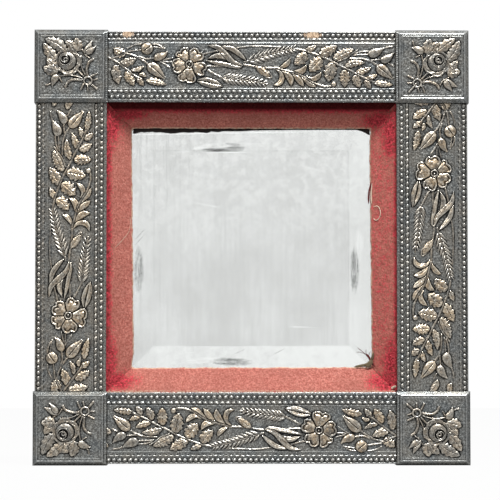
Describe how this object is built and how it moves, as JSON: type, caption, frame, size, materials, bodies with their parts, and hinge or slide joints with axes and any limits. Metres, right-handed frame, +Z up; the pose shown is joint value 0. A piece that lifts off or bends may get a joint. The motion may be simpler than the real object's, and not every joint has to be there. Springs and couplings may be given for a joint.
{
  "type": "wall mirror",
  "caption": "Square wall mirror: bevelled glass in a velvet-lined wooden frame covered with embossed floral sheet metal, corner blocks and a swinging ring hanger.",
  "frame": {"origin": "centre of the backboard's outer face, which rests against the wall", "axes": "+X to the right seen from the front, +Y from the mirror into the wall, +Z up"},
  "size_m": [0.38, 0.0343, 0.38],
  "materials": {
    "stamped_sheet": "embossed sheet metal with dark patina, silvery highlights and coppery wear",
    "frame_wood": "aged bare softwood",
    "tenon_wood": "bare hardwood",
    "velvet": "faded red velvet",
    "glass": "clear bevelled plate",
    "silvering": "aged silvering",
    "paper": "brown packing paper",
    "board": "thin board, darkened",
    "hanger_metal": "dull brass",
    "fastener_steel": "dull steel"
  },
  "bodies": {
    "frame": {"rail_core_top": "frame_wood", "rail_sheet_top": "stamped_sheet", "liner_slip_top": "frame_wood", "liner_velvet_top": "velvet", "rail_core_right": "frame_wood", "rail_sheet_right": "stamped_sheet", "liner_slip_right": "frame_wood", "liner_velvet_right": "velvet", "rail_core_bottom": "frame_wood", "rail_sheet_bottom": "stamped_sheet", "liner_slip_bottom": "frame_wood", "liner_velvet_bottom": "velvet", "rail_core_left": "frame_wood", "rail_sheet_left": "stamped_sheet", "liner_slip_left": "frame_wood", "liner_velvet_left": "velvet", "corner_block_top_right": "frame_wood", "corner_cap_top_right": "stamped_sheet", "corner_block_bottom_right": "frame_wood", "corner_cap_bottom_right": "stamped_sheet", "corner_block_bottom_left": "frame_wood", "corner_cap_bottom_left": "stamped_sheet", "corner_block_top_left": "frame_wood", "corner_cap_top_left": "stamped_sheet", "mirror_glass": "glass", "mirror_silvering": "silvering", "packing_paper": "paper", "backboard": "board", "frame_tenons": "tenon_wood", "hanger_plate": "hanger_metal", "backboard_nails": "fastener_steel", "sheet_pins": "fastener_steel", "cap_pins": "fastener_steel", "hanger_screws": "fastener_steel"},
    "ring": {"hanging_ring": "hanger_metal"}
  },
  "joints": [
    {"name": "ring_swing", "type": "hinge", "parent": "frame", "child": "ring", "pos_m": [0, -0.0026, 0.172], "axis": [1, 0, 0], "range_deg": [0, 180]}
  ]
}
